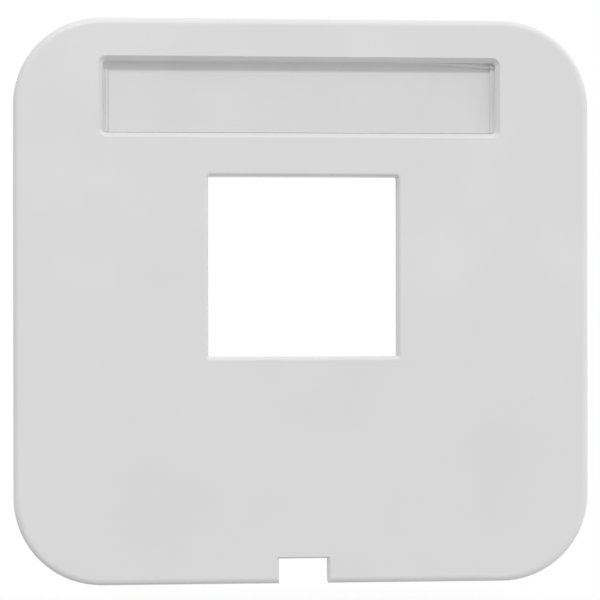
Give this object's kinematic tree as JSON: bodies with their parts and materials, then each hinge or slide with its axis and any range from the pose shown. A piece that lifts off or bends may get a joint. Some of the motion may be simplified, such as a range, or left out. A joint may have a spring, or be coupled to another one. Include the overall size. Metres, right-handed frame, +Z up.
{
  "type": "data outlet centre plate",
  "caption": "Square clip-on centre plate with rounded corners, a windowed label recess, a cut-out for a modular jack and a prising notch in its lower edge.",
  "frame": {"origin": "middle of the plate, on the plane of its rear rim", "axes": "+X to the right and +Z up as seen from the front, +Y into the wall, so the front face looks along -Y"},
  "size_m": [0.0502, 0.0116, 0.0492],
  "materials": {
    "moulded_plate": "satin moulded thermoplastic, pale neutral grey",
    "clear_window": "polished clear thermoplastic"
  },
  "bodies": {
    "root": {"centre_plate": "moulded_plate", "label_window": "clear_window"}
  },
  "joints": []
}
